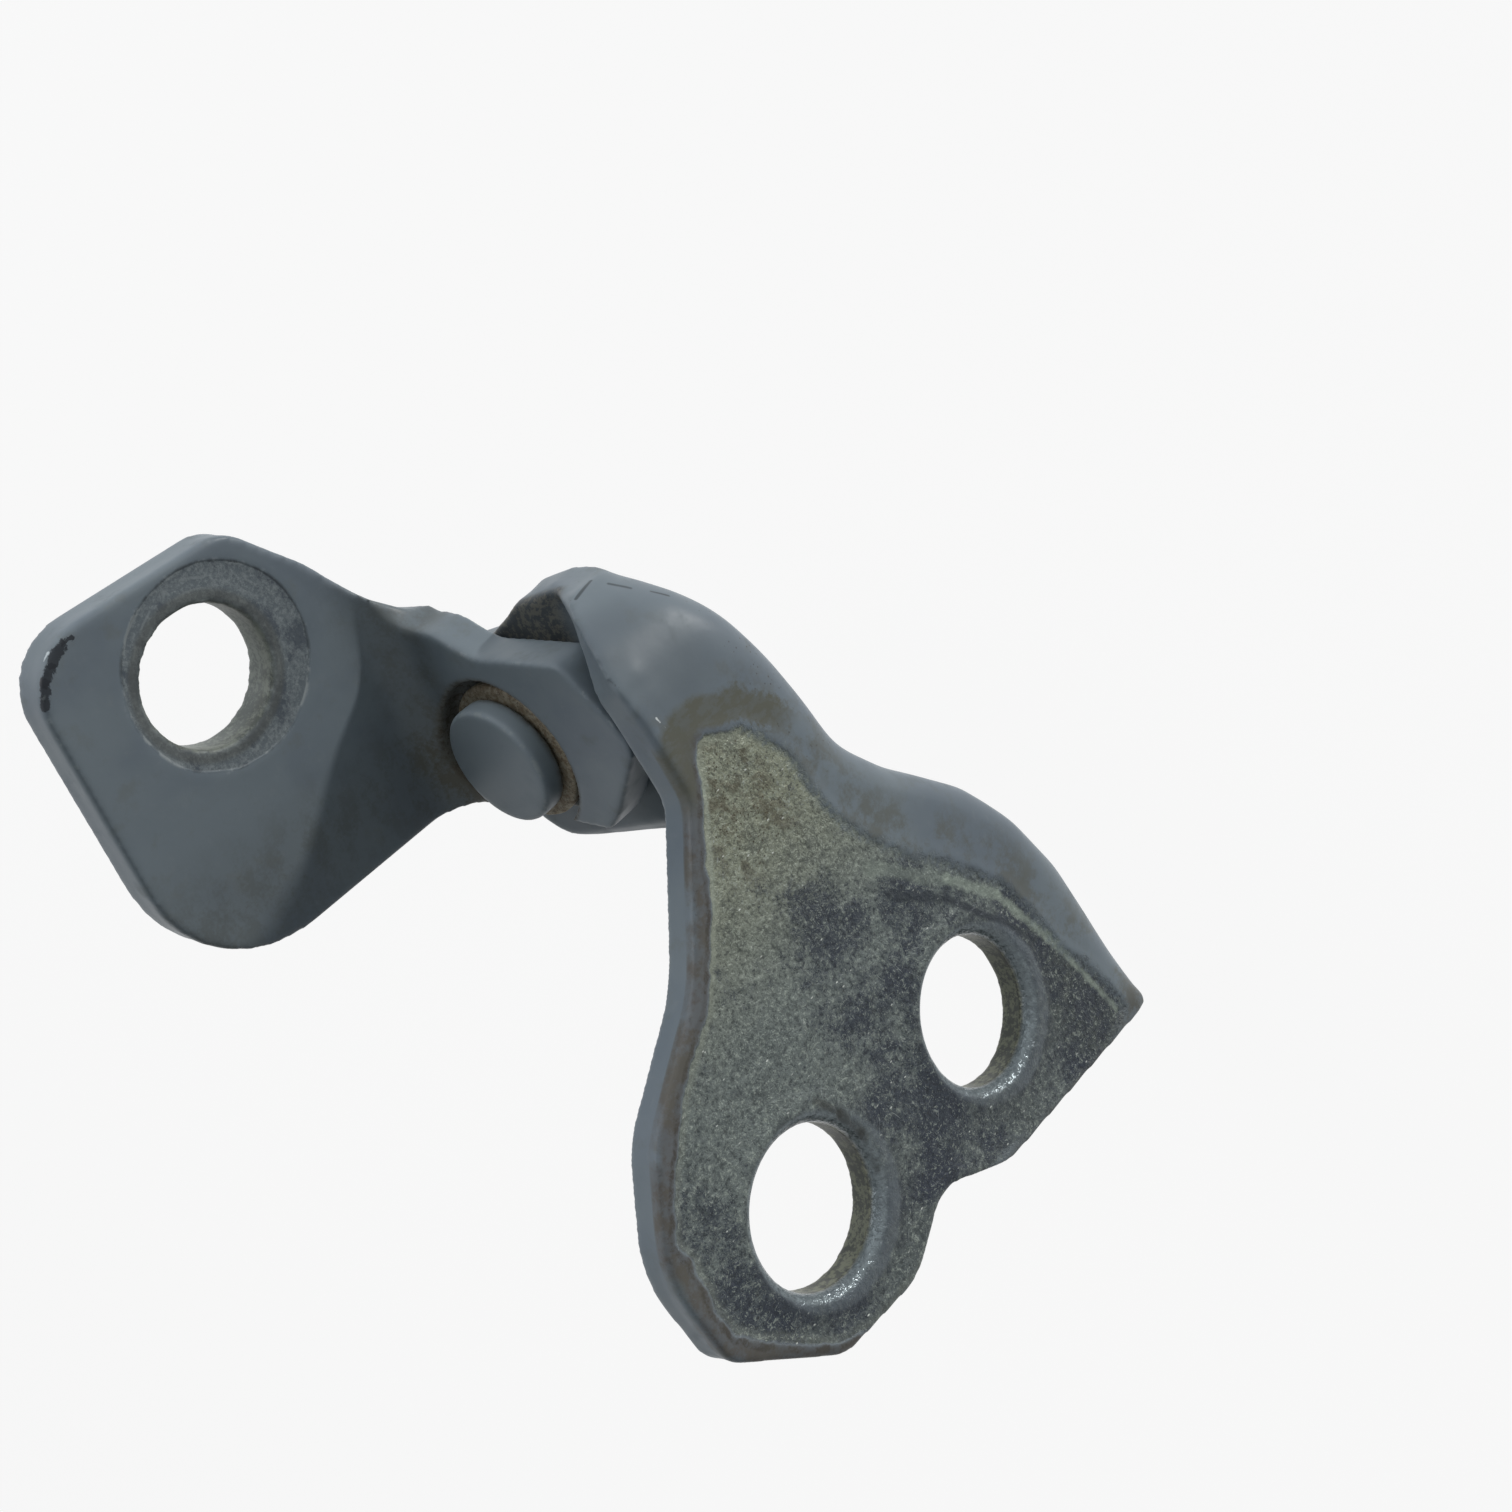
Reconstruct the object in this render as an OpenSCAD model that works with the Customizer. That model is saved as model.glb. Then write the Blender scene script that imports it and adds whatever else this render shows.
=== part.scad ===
// Car door hinge: two pressed steel leaves on one riveted pin.
// Millimetres. Z runs along the pin, up towards its round head.
// X points out of the pillar face, and the origin lies on that face,
// midway between the two pillar bolt holes.

/* [Sheet] */
// Thickness of both pressed leaves
sheet_t = 4.5; // [4:0.1:5]
// Distance from the pin axis to the pillar mounting face
pin_to_pillar_face = 25.2; // [25:0.1:26]
// Distance from the pin axis to the bolt-head face of the door plate
pin_to_door_face = 11.25; // [11:0.05:12]

/* [Pillar leaf] */
// Distance between the two pillar bolt holes
pillar_hole_pitch = 29; // [28:0.5:31]
// Diameter of the pillar bolt holes
pillar_hole_d = 15.8; // [14:0.1:16.5]
// Width of the chamfer round each pillar bolt hole
pillar_hole_chamfer = 0.9; // [0.2:0.1:1]
// Distance from the pin axis down to the line of the pillar holes
pillar_hole_drop = 46.3; // [45:0.1:47.5]
// Height of the door ear's outer face over the middle of the two holes
pivot_rise = 1.6; // [1:0.1:2]
// Height of the neck's near edge over the door ear's outer face
neck_edge_rise = 1; // [0.6:0.1:1.5]
// Radius of the pillar ear around the pin
pillar_ear_r = 13; // [12:0.1:13.5]
// Reach of the lobe on the head side, from the line of the neck
near_lobe_reach = 30; // [29:0.1:31]
// Reach of the lobe on the tail side, to its rounded rim
far_lobe_reach = 39.2; // [38:0.1:40]
// Distance from the pin axis down to the lower edge of the plate
plate_drop = 62.6; // [61:0.1:64]
// Depth of the turned-back rim on the tail side, behind the face
rim_depth = 8; // [6.5:0.1:10]

/* [Door leaf] */
// Turn of the door plate from the pillar plate, with the hinge at rest
open_turn = -16.5; // [-18:0.5:-15]
// Width of the door plate, along the pin, from the ear's outer face
door_plate_w = 35; // [34:0.1:37]
// Distance from the pin axis up to the far edge of the door plate
door_plate_up = 32; // [31.5:0.1:34]
// Distance from the pin axis down to the lower edge of the door plate
door_plate_down = 7.1; // [6.5:0.1:7.6]
// Inner radius of the bend between door plate and ear
door_bend_r = 5; // [4:0.1:5.5]
// Diameter of the door bolt hole
door_hole_d = 13.8; // [12:0.1:15]
// Diameter of the bare seat that the bolt's washer leaves
door_seat_d = 20; // [18:0.1:20.4]
// Depth of the bare seat
door_seat_depth = 0.15; // [0.1:0.05:0.3]
// Distance from the pin axis up to the door bolt hole
door_hole_up = 20.8; // [20.5:0.1:21.4]
// Distance from the ear's outer face to the door bolt hole
door_hole_z = 19.5; // [18.5:0.1:20]
// Distance from the pin axis up to the middle of the bare seat
door_seat_up = 21.1; // [20.8:0.1:21.4]
// Distance from the ear's outer face to the middle of the bare seat
door_seat_z = 18.1; // [17.8:0.1:18.6]
// Distance from the pin axis to the upper edge of the ear
ear_up = 12.5; // [12:0.1:13]
// Distance from the pin axis to the lower edge of the ear
ear_down = 9.8; // [9:0.1:10.2]
// Radius of the ear's nose around the pin
ear_nose_r = 19.9; // [18:0.1:20]

/* [Pivot] */
// Diameter of the pin's shank
pin_d = 8; // [7:0.1:9]
// Diameter of the pin's round head
pin_head_d = 13.5; // [12.5:0.1:15]
// Thickness of the pin's head
pin_head_t = 2.8; // [2.4:0.1:3.2]
// Diameter of the upset tail
pin_tail_d = 12; // [11:0.1:12.4]
// Height of the upset tail
pin_tail_t = 2.2; // [1.8:0.1:2.6]
// Diameter of the recess around the head
recess_d = 18; // [17.6:0.1:18.4]
// Depth of the recess
recess_depth = 2.1; // [1.8:0.1:2.3]
// Wall of the bush
bush_wall = 1.2; // [1:0.1:1.5]
// Diameter of the bush's flange
bush_flange_d = 16; // [15:0.1:16.8]
// Thickness of the bush's flange
bush_flange_t = 1.2; // [1:0.1:1.3]
// Thickness of the washer between the ears
thrust_t = 1; // [0.8:0.1:1.2]
// Diameter of the washer between the ears
thrust_d = 17; // [15:0.1:17.5]
// Running clearance between pin and bush, on the radius
pin_clearance = 0.05; // [0.03:0.01:0.08]
// End play on each face that turns
end_play = 0.1; // [0.05:0.05:0.2]

/* [Hidden] */
$fn = 64;
ear_back = -sheet_t;
thrust_top = ear_back - end_play;
ear_b_in = thrust_top - thrust_t;
ear_b_out = ear_b_in - sheet_t;
bush_flange_top = -recess_depth + bush_flange_t;
head_under = bush_flange_top + end_play;
far = 80;

paint = [0.43, 0.47, 0.50];
bronze = [0.42, 0.36, 0.31];

function unit(v) = v / norm(v);
function left_of(v) = [-v[1], v[0]];

// A corner c between points a and b, rounded with radius r by n chords
function rounded(a, c, b, r, n) =
    let (u = unit(a - c), v = unit(b - c))
    let (turn = max(0.4, 180 - acos(max(-1, min(1, u * v)))))
    let (reach = min(r * tan(turn / 2), 0.49 * norm(a - c), 0.49 * norm(b - c)))
    let (radius = reach / tan(turn / 2))
    let (side = sign(cross(c - a, b - c)) == 0 ? 1 : sign(cross(c - a, b - c)))
    let (p = c + u * reach, o = p + side * radius * left_of(-u))
    [for (i = [0:n]) o + turned(p - o, side * turn * i / n)];
function turned(v, a) = [v[0] * cos(a) - v[1] * sin(a), v[0] * sin(a) + v[1] * cos(a)];

// A closed outline of rounded corners, each given as [x, y, radius]
function outline(c, n = 8) =
    [for (i = [0:len(c) - 1])
        let (a = c[(i + len(c) - 1) % len(c)], b = c[(i + 1) % len(c)])
        each rounded([a[0], a[1]], [c[i][0], c[i][1]], [b[0], b[1]], c[i][2], n)];

// The formed sheet of the pillar leaf, cut into sections across the neck.
// Each table below gives one size of the section against its height.
function face_x(y) = pin_to_pillar_face - lookup(y,
    [[2, 0], [5, 0.5], [8, 1.7], [11, 4.2], [13.3, 7.4], [15.5, 11]]);
function flare(y) = lookup(y,
    [[-plate_drop, -far_lobe_reach - 0.3], [-52, -far_lobe_reach + 0.1], [-43, -far_lobe_reach + 0.8],
    [-35, -far_lobe_reach + 2.9], [-28, -32.3], [-20, -27], [-16, -25.8], [-13, -26],
    [-8, -25.1], [-2, -23], [3, -20.2], [6, -17.7], [9, -14.7], [12, -12], [15.5, ear_b_out]]);
function rim_r(y) = lookup(y,
    [[-plate_drop, 2.5], [-52, 5], [-43, 6.5], [-34, 9], [-20, 9], [-10, 7.5], [3, 6.5], [12, 5], [15.5, 3]]);
function ear_x(y) = lookup(y, [[-30, 16], [-22, 12.5], [-14, 9], [15.5, 9]]);
function ear_z(y) = lookup(y,
    [[-plate_drop, -far_lobe_reach], [-43, -far_lobe_reach + 1.2], [-28, -31], [-20, -19], [-13.5, ear_b_out], [15.5, ear_b_out]]);
function lip_turn(y) = lookup(y, [[-6, 0.02], [2, 2], [8, 8], [15.5, 8]]);
function lip_z(y) = lookup(y, [[-6, -2], [15.5, -1]]);
// The near edge of the hood, on its outer and on its inner surface
function edge_out(y) = lookup(y, [[-5, neck_edge_rise], [1, 1.1], [4.2, 1.4], [6.2, 1.3],
    [8.7, 0.4], [11.1, -1.2], [12.3, -3.1], [13.2, -5], [14.1, -7.7], [15.5, -9]]);
function edge_in(y) = lookup(y, [[-5, neck_edge_rise], [1, 1], [3.4, 1], [5.2, 0.5],
    [8.5, -1.7], [11, -4.2], [12.8, -5.8], [15.5, -8]]);

function section_corners(y) =
    let (x = face_x(y), z0 = ear_z(y), g = lip_turn(y))
    [[-far / 3, z0], [ear_x(y), z0], [x, min(flare(y), z0 - 0.05)], [x, lip_z(y)],
    [x - far / 2 * sin(g), lip_z(y) + far / 2 * cos(g)]];

// Corners of the same section, moved inwards by the sheet
function moved_in(c, t) =
    let (n = [for (i = [0:len(c) - 2]) left_of(unit(c[i + 1] - c[i]))])
    [for (i = [0:len(c) - 1])
        i == 0 ? c[0] + t * n[0]
        : i == len(c) - 1 ? c[i] + t * n[i - 1]
        : c[i] + t * (n[i - 1] + n[i]) / (1 + n[i - 1] * n[i])];

function section_side(c, r1, r2) =
    [c[0], each rounded(c[0], c[1], c[2], r1, 4), each rounded(c[1], c[2], c[3], r2, 10),
    each rounded(c[2], c[3], c[4], 12, 3), c[4]];

function reversed(v) = [for (i = [len(v) - 1:-1:0]) v[i]];

function section(y) =
    let (c = section_corners(y), r = rim_r(y), inner = moved_in(c, sheet_t))
    [for (p = concat(section_side(c, 7, r), reversed(section_side(inner, 7 + sheet_t, max(1, r - sheet_t)))))
        [p[0], y, p[1]]];

heights = [-70, -62, -56, -52, -47.5, -43, -39, -35, -31.5, -28, -25, -22, -20, -18, -16, -14.5,
    -13, -11, -9, -7, -5, -3, -1, 1, 2.5, 4, 5, 6, 7, 8, 9, 10, 11, 12, 13.3, 15.5];

module formed_sheet() {
    rings = [for (y = heights) section(y)];
    n = len(rings[0]);
    m = len(rings);
    sides = [for (j = [0:m - 2], i = [0:n - 1])
        each [[j * n + i, (j + 1) * n + (i + 1) % n, (j + 1) * n + i],
        [j * n + i, j * n + (i + 1) % n, (j + 1) * n + (i + 1) % n]]];
    half = n / 2;
    first = [for (i = [0:half - 2])
        each [[i, n - 2 - i, i + 1], [i, n - 1 - i, n - 2 - i]]];
    last = [for (f = first) [for (k = [2:-1:0]) f[k] + (m - 1) * n]];
    polyhedron([for (r = rings) each r], concat(sides, first, last), convexity = 8);
}

// What is cut away past the near edge of the hood, square to the bent sheet
module hood_edge_cut() {
    reach = 3;
    at = [for (y = heights) if (y > -6) y];
    rings = [for (y = at)
        let (outer = [face_x(y), edge_out(y)], inner = [face_x(y) - sheet_t, edge_in(y)])
        let (past = outer + (outer - inner) * 0.8)
        [[past[0], y, past[1]], [inner[0], y, inner[1]], [inner[0] - reach, y, max(edge_in(y), ear_b_in)],
        [inner[0] - reach, y, far / 2], [past[0], y, far / 2]]];
    n = len(rings[0]);
    m = len(at);
    sides = [for (j = [0:m - 2], i = [0:n - 1])
        each [[j * n + i, (j + 1) * n + i, (j + 1) * n + (i + 1) % n],
        [j * n + i, (j + 1) * n + (i + 1) % n, j * n + (i + 1) % n]]];
    first = [[3, 4, 0], [3, 0, 1], [3, 1, 2]];
    last = [for (f = first) [for (k = [2:-1:0]) f[k] + (m - 1) * n]];
    polyhedron([for (r = rings) each r], concat(sides, first, last), convexity = 4);
}

// Outline of the pillar plate and neck as seen along X: [y, z, radius]
plate_corners = [
    [14, -7.6, 1.5], [13, -4.6, 1], [12.3, -2.2, 1], [9, 1.6, 1], [4, 1.9, 2],
    [-4.6, neck_edge_rise + 0.05, 1], [-7.5, neck_edge_rise, 14],
    [-21.2, 11.4, 16], [-29, near_lobe_reach - 6.4, 10], [-39, near_lobe_reach, 12],
    [-49.5, near_lobe_reach - 0.6, 3.5], [-plate_drop + 3.4, 19, 5], [-plate_drop + 2, 7.5, 8],
    [-plate_drop + 6.4, -0.6, 5], [-plate_drop + 1.6, -9.5, 10], [-plate_drop - 0.8, -far_lobe_reach - 0.2, 2.5],
    [-plate_drop + 10, -far_lobe_reach - 8, 1], [14, -far_lobe_reach - 8, 1]];

// Outline of the pillar leaf as seen along the pin: [x, y, radius]
ear_corners = [
    [-pillar_ear_r, -pillar_ear_r - 0.6, pillar_ear_r], [6, -pillar_ear_r - 1.8, 3], [14, -22, 14],
    [pin_to_pillar_face - rim_depth, -38, 20], [pin_to_pillar_face - rim_depth + 2, -plate_drop - 10, 1],
    [pin_to_pillar_face + 10, -plate_drop - 10, 1], [pin_to_pillar_face + 10, 13, 1],
    [pin_to_pillar_face - 8, 13, 2], [9.6, 14.6, 1.2], [4.8, 12.6, 3], [-1, pillar_ear_r - 2.2, 3], [-pillar_ear_r + 0.6, pillar_ear_r - 2.4, pillar_ear_r - 3]];

module along_x(from, to) {
    translate([from, 0, 0]) rotate([90, 0, 90]) linear_extrude(to - from) children();
}

module pillar_leaf_pin_frame() {
    difference() {
        intersection() {
            formed_sheet();
            along_x(-far, far) polygon(outline(plate_corners));
            translate([0, 0, -far]) linear_extrude(2 * far) polygon(outline(ear_corners));
        }
        hood_edge_cut();
        for (side = [-1, 1])
            translate([pin_to_pillar_face, -pillar_hole_drop, side * pillar_hole_pitch / 2 - pivot_rise])
                rotate([0, 90, 0]) {
                    cylinder(d = pillar_hole_d, h = far, center = true);
                    translate([0, 0, -pillar_hole_chamfer])
                        cylinder(d1 = pillar_hole_d, d2 = pillar_hole_d + 4 * pillar_hole_chamfer, h = 2 * pillar_hole_chamfer);
                }
        translate([0, 0, -far]) cylinder(d = pin_d, h = far);
    }
}

// Outline of the door plate as seen along its normal: [up, z, radius]
door_plate_corners = [
    [-door_plate_down, -far, 1], [-door_plate_down, door_plate_w, 13.4],
    [door_plate_up, door_plate_w, 7], [door_plate_up, 11.6, 5],
    [24.5, 4.9, 6], [18.6, 1.2, 4], [15, -2.6, 4], [15, -far, 1]];

// Outline of the door ear as seen along the pin: [out, up, radius]
door_ear_corners = [
    [-far, -door_plate_down, 0.5], [-pin_to_door_face - 0.6, -door_plate_down, 1],
    [-7.6, -ear_down + 1.2, 3], [-3, -ear_down, 8], [8.6, -ear_down, 5],
    [13.6, -4.9, 2], [ear_nose_r - 0.4, 3.6, 2.5], [ear_nose_r - 1.8, 6.4, 2],
    [ear_nose_r - 6.6, ear_up, 2.5], [0.6, ear_up - 0.6, 4], [-4.2, ear_up + 1.6, 2],
    [-9, ear_up + 2, 3], [-10.6, 26, 4], [-far, 26, 1]];

// The bent section of the door leaf as seen along its lower edge
module door_profile() {
    r_out = door_bend_r + sheet_t;
    x_c = -pin_to_door_face + door_bend_r;
    translate([-pin_to_door_face - sheet_t, door_bend_r]) square([sheet_t, far / 2]);
    translate([x_c, -sheet_t]) square([far / 2, sheet_t]);
    intersection() {
        translate([x_c, door_bend_r]) difference() {
            circle(r = r_out, $fn = 96);
            circle(r = door_bend_r, $fn = 96);
        }
        translate([-pin_to_door_face - sheet_t, -sheet_t]) square(r_out);
    }
}

module door_leaf_pin_frame() {
    difference() {
        intersection() {
            translate([0, far / 2, 0]) rotate([90, 0, 0]) linear_extrude(far) door_profile();
            along_x(-far, far) polygon(outline(door_plate_corners));
            union() {
                translate([0, 0, -far]) linear_extrude(2 * far) polygon(outline(door_ear_corners));
                translate([-pin_to_door_face - far, -far / 2, door_bend_r]) cube(far);
            }
            union() {
                translate([0, 0, -far]) cylinder(r = ear_nose_r, h = far, $fn = 128);
                translate([-far, -far / 2, -far]) cube([far, far, 2 * far]);
            }
        }
        translate([0, 0, -recess_depth]) cylinder(d = recess_d, h = far);
        translate([0, 0, -far / 2]) cylinder(d = pin_d + 2 * (pin_clearance + bush_wall), h = far);
        translate([-far, door_hole_up, door_hole_z]) rotate([0, 90, 0])
            cylinder(d = door_hole_d, h = 2 * far);
        translate([-pin_to_door_face - door_seat_depth, door_seat_up, door_seat_z])
            rotate([0, 90, 0]) cylinder(d = door_seat_d, h = far);
    }
}

module in_part_frame() {
    translate([-pin_to_pillar_face, pillar_hole_drop, pivot_rise]) children();
}

module pillar_leaf() {
    color(paint) in_part_frame() pillar_leaf_pin_frame();
}

module door_leaf() {
    color(paint) in_part_frame() rotate([0, 0, open_turn]) door_leaf_pin_frame();
}

module hinge_pin() {
    tail_top = ear_b_out;
    color(paint) in_part_frame() rotate_extrude() polygon([
        [0, tail_top - pin_tail_t], [pin_tail_d / 2 - 1.6, tail_top - pin_tail_t],
        [pin_tail_d / 2 - 0.5, tail_top - pin_tail_t + 0.5], [pin_tail_d / 2, tail_top - pin_tail_t + 1.3],
        [pin_tail_d / 2, tail_top], [pin_d / 2, tail_top], [pin_d / 2, head_under],
        [pin_head_d / 2 - 0.2, head_under], [pin_head_d / 2, head_under + 0.2],
        [pin_head_d / 2, head_under + pin_head_t - 0.5],
        [pin_head_d / 2 - 0.15, head_under + pin_head_t - 0.15],
        [pin_head_d / 2 - 0.5, head_under + pin_head_t], [0, head_under + pin_head_t]]);
}

module door_bush() {
    r_in = pin_d / 2 + pin_clearance;
    color(bronze) in_part_frame() difference() {
        union() {
            translate([0, 0, ear_back]) cylinder(r = r_in + bush_wall, h = sheet_t - recess_depth);
            translate([0, 0, -recess_depth]) cylinder(d = bush_flange_d, h = bush_flange_t);
        }
        translate([0, 0, -far / 2]) cylinder(r = r_in, h = far);
    }
}

module thrust_washer() {
    color(bronze) in_part_frame() translate([0, 0, ear_b_in]) difference() {
        cylinder(d = thrust_d, h = thrust_t);
        translate([0, 0, -far / 2]) cylinder(d = pin_d, h = far);
    }
}

pillar_leaf();
door_leaf();
hinge_pin();
door_bush();
thrust_washer();
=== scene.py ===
import math
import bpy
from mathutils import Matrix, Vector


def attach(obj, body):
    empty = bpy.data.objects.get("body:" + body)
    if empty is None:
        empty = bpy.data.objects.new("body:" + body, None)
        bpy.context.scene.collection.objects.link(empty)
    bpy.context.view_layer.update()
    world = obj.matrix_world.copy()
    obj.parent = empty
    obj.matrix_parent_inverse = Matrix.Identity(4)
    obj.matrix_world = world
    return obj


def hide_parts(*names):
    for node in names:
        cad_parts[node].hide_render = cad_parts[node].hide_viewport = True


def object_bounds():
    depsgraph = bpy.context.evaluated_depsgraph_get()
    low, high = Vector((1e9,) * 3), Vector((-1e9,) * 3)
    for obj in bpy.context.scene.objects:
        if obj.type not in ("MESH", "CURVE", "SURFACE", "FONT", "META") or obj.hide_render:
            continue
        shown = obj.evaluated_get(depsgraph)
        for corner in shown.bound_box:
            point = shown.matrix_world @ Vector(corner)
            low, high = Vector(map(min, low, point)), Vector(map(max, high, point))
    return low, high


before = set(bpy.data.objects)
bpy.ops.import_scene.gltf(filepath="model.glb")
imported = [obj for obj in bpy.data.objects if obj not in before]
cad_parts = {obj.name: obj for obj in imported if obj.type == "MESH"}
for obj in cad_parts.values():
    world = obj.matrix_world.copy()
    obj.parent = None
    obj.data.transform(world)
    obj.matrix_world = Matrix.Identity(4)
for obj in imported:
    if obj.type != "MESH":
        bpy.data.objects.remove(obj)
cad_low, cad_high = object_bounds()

from types import SimpleNamespace

import bmesh
import bpy
import numpy as np
from mathutils import Matrix, Vector
from mathutils.kdtree import KDTree

MM = 0.001
# Places at rest in mm, as in the solids: the pin's axis and the outer face of the door leaf's ear
PIN_X, PIN_Y, EAR_Z = -25.2, 46.3, 1.6
# The door leaf's turn about the pin at rest
OPEN_TURN = math.radians(-16.5)
# The two pillar holes lie at plus and minus HOLE_Z
HOLE_Z, HOLE_R = 14.5, 7.9
# On the door plate: how far up from the pin, and how far along it from the ear's outer face
DOOR_HOLE = (20.8, 19.5)
DOOR_SEAT = (21.1, 18.1)


# Shader maths

class Value:
    """A shader socket that takes Python's arithmetic."""

    def __init__(self, shader, socket):
        self.shader = shader
        self.socket = socket

    def _with(self, operation, *others):
        return self.shader.node("ShaderNodeMath", *others, operation=operation)

    def __add__(self, other):
        return self._with("ADD", self, other)

    def __sub__(self, other):
        return self._with("SUBTRACT", self, other)

    def __rsub__(self, other):
        return self._with("SUBTRACT", other, self)

    def __mul__(self, other):
        return self._with("MULTIPLY", self, other)

    def __truediv__(self, other):
        return self._with("DIVIDE", self, other)

    def __pow__(self, other):
        return self._with("POWER", self, other)

    def __neg__(self):
        return self._with("MULTIPLY", self, -1.0)

    __radd__ = __add__
    __rmul__ = __mul__

    def abs(self):
        return self._with("ABSOLUTE", self)

    def sine(self):
        return self._with("SINE", self)

    def least(self, other):
        return self._with("MINIMUM", self, other)

    def most(self, other):
        return self._with("MAXIMUM", self, other)

    def rise(self, low, high):
        """0 below low, 1 above high, smooth between; falls if low is above high."""
        if low > high:
            return 1.0 - self.rise(high, low)
        return self.shader.node("ShaderNodeMapRange", self, low, high, 0.0, 1.0,
                                interpolation_type="SMOOTHSTEP")

    def band(self, a, b, c, d):
        """0 below a, 1 from b to c and 0 above d, smooth between."""
        return self.rise(a, b) * self.rise(d, c)


def reach(a, b):
    """How far two shader values together lie from nought, as a distance."""
    return (a ** 2.0 + b ** 2.0) ** 0.5


class Nodes:
    """A node tree whose nodes all come from one method."""

    def __init__(self, tree):
        self.tree = tree
        self.tree.nodes.clear()

    def _put(self, socket, value):
        if isinstance(value, Value):
            self.tree.links.new(value.socket, socket)
        elif isinstance(value, tuple) and socket.type == "RGBA":
            socket.default_value = (*value, 1.0)
        else:
            socket.default_value = value

    def node(self, kind, *inputs, out=0, on=None, **settings):
        """A node's output, given its settings and then its sockets' values or links, in order or by name."""
        made = self.tree.nodes.new(kind)
        for name, value in settings.items():
            setattr(made, name, value)
        for socket, value in zip(made.inputs, inputs):
            self._put(socket, value)
        for name, value in (on or {}).items():
            self._put(made.inputs[name], value)
        return Value(self, made.outputs[out]) if made.outputs else None

    def outputs(self, kind, *inputs):
        """All the outputs of a node, by name."""
        return {s.name: Value(self, s) for s in self.node(kind, *inputs).socket.node.outputs}


class Shader(Nodes):
    """A material with one Principled shader. Its x, y and z are places on the object at rest, in mm."""

    def __init__(self, name):
        self.material = bpy.data.materials.new(name)
        self.material.use_nodes = True
        super().__init__(self.material.node_tree)
        place = self.outputs("ShaderNodeTexCoord")["Object"]
        self.place = self.node("ShaderNodeVectorMath", place, (1 / MM,) * 3, operation="MULTIPLY")
        self.x, self.y, self.z = self.outputs("ShaderNodeSeparateXYZ", self.place).values()

    def attribute(self, name):
        """A float that is stored on the mesh; output 2 holds it."""
        return self.node("ShaderNodeAttribute", attribute_name=name, out=2)

    def noise(self, scale, detail=2.0, rough=0.5, shift=0.0, stretch=(1, 1, 1), warp=0.0, turn=0.0):
        at = self.node("ShaderNodeMapping", self.place, (0, 0, 0), (turn, 0, 0), (1, 1, 1))
        at = self.node("ShaderNodeMapping", at, (shift, shift * 0.7, -shift), (0, 0, 0), stretch)
        return self.node("ShaderNodeTexNoise", on={"Vector": at, "Scale": scale, "Detail": detail,
                                                   "Roughness": rough, "Distortion": warp})

    def cells(self, scale, shift=0.0, stretch=(1, 1, 1)):
        """Distance from the nearest of many scattered points."""
        at = self.node("ShaderNodeMapping", self.place, (shift, -shift, shift * 0.6), (0, 0, 0), stretch)
        return self.node("ShaderNodeTexVoronoi", on={"Vector": at, "Scale": scale})

    def stroke(self, a, b):
        """Distance from the straight stroke between two points, in mm."""
        d = [q - p for p, q in zip(a, b)]
        here = (self.x, self.y, self.z)
        off = [h - p for h, p in zip(here, a)]
        along = (off[0] * d[0] + off[1] * d[1] + off[2] * d[2]) * (1.0 / sum(v * v for v in d))
        along = along.most(0.0).least(1.0)
        gap = [o - along * v for o, v in zip(off, d)]
        return (gap[0] ** 2.0 + gap[1] ** 2.0 + gap[2] ** 2.0) ** 0.5

    def mix(self, a, b, factor):
        """Colour a, or b where the factor is 1. Inputs 6 and 7 and output 2 are the colour sockets."""
        return self.node("ShaderNodeMix", on={0: factor, 6: a, 7: b}, out=2,
                         data_type="RGBA", clamp_factor=True)

    def finish(self, colour, roughness, metallic, height, depth, specular=0.5):
        """The material. A height of 1 stands out by the depth in mm."""
        bump = self.node("ShaderNodeBump", on={"Strength": 1.0, "Distance": depth * MM, "Height": height})
        surface = self.node("ShaderNodeBsdfPrincipled", on={
            "Base Color": colour, "Roughness": roughness, "Metallic": metallic,
            "Specular IOR Level": specular, "Normal": bump})
        self.node("ShaderNodeOutputMaterial", surface)
        return self.material


def srgb(*levels):
    """A linear colour from screen levels of 0 to 255."""
    shares = [level / 255 for level in levels]
    return tuple(c / 12.92 if c <= 0.04045 else ((c + 0.055) / 1.055) ** 2.4 for c in shares)


# Shapes

SHARP = math.radians(32)
EDGE_POINT_GAP = 0.3
# Calm rounds start this far from a sharp edge, and have their full strength CALM_WIDTH further in (mm)
CALM_FROM, CALM_WIDTH = 0.9, 1.2
# The same for dents and wear
INNER_FROM, INNER_WIDTH = 0.6, 2.0


def outline_distance(points, outline):
    """Signed distance from 2-D points to a closed outline, positive inside."""
    p = np.asarray(points, float)
    a = np.asarray(outline, float)
    b = np.roll(a, -1, axis=0)
    best = np.full(len(p), np.inf)
    inside = np.zeros(len(p), bool)
    for (ax, ay), (bx, by) in zip(a, b):
        d = np.array([bx - ax, by - ay])
        t = np.clip(((p[:, 0] - ax) * d[0] + (p[:, 1] - ay) * d[1]) / (d @ d), 0, 1)
        best = np.minimum(best, np.hypot(p[:, 0] - ax - t * d[0], p[:, 1] - ay - t * d[1]))
        crosses = (ay > p[:, 1]) != (by > p[:, 1])
        if by != ay:
            inside ^= crosses & (p[:, 0] < (bx - ax) * (p[:, 1] - ay) / (by - ay) + ax)
    return np.where(inside, best, -best)


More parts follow.
